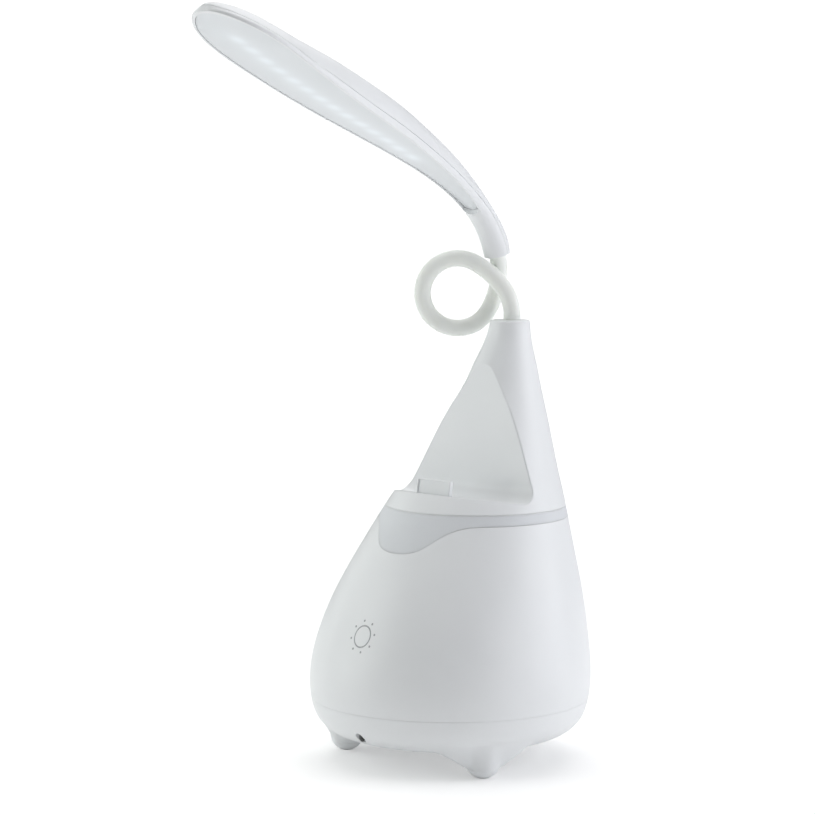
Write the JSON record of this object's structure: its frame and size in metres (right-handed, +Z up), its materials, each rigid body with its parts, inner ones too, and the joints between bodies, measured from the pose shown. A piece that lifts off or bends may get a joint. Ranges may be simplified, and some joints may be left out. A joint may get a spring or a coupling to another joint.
{
  "type": "desk lamp",
  "caption": "Touch desk lamp with a drop-shaped base, a phone rest, a translucent light band and a looped gooseneck that carries a leaf-shaped lamp head.",
  "frame": {"origin": "centre of the ring of three feet, on the table plane", "axes": "+Z up, -Y towards the front of the lamp (touch symbol, phone rest and head), +X to the lamp's left as it faces its user, which is on the right in a view from the front"},
  "size_m": [0.13, 0.2077, 0.3417],
  "materials": {
    "white_shell": "satin gloss, cool white",
    "frosted_band": "frosted translucent white",
    "frosted_panel": "frosted translucent diffuser",
    "silicone": "matt silicone, off-white",
    "pad_rubber": "matt grey",
    "steel": "plain zinc-plated",
    "plain_steel": "bare",
    "inner_nylon": "matt",
    "circuit_board": "green solder mask",
    "light_board": "white solder mask",
    "black_plastic": "matt black",
    "led_lens": "yellow phosphor",
    "electrode": "copper-coloured foil"
  },
  "bodies": {
    "base": {"bottom_shell": "white_shell", "foot_pads": "pad_rubber", "base_screws": "steel", "ballast_plate": "plain_steel", "board_spacers": "inner_nylon", "board_screws": "steel", "main_board": "circuit_board", "board_components": "black_plastic", "power_jack": "black_plastic", "main_shell": "white_shell", "light_band": "frosted_band", "upper_housing": "white_shell", "housing_screws": "steel", "phone_stop": "white_shell", "mood_light_board": "light_board", "mood_leds": "led_lens", "touch_board": "circuit_board", "touch_electrode": "electrode"},
    "neck_root": {"neck_fitting": "steel", "neck_nut": "steel", "gooseneck_root": "silicone"},
    "neck_loop": {"gooseneck_sleeve": "silicone", "gooseneck_core": "steel"},
    "head": {"head_cover": "white_shell", "head_tray": "white_shell", "light_panel": "frosted_panel", "led_strip": "light_board", "strip_screws": "steel", "head_leds": "led_lens"}
  },
  "joints": [
    {"name": "neck_swing", "type": "hinge", "parent": "base", "child": "neck_root", "pos_m": [0, 0.043, 0.2], "axis": [0, 0, 1], "range_deg": [-50, 50]},
    {"name": "neck_lean", "type": "hinge", "parent": "neck_root", "child": "neck_loop", "pos_m": [0, 0.0425, 0.208], "axis": [1, 0, 0], "range_deg": [-15, 20], "deforming": ["gooseneck_sleeve", "gooseneck_core"]},
    {"name": "head_tilt", "type": "hinge", "parent": "neck_loop", "child": "head", "pos_m": [-0.0105, 0.0445, 0.226], "axis": [1, 0, 0], "range_deg": [-25, 35], "deforming": ["gooseneck_sleeve", "gooseneck_core"]}
  ]
}
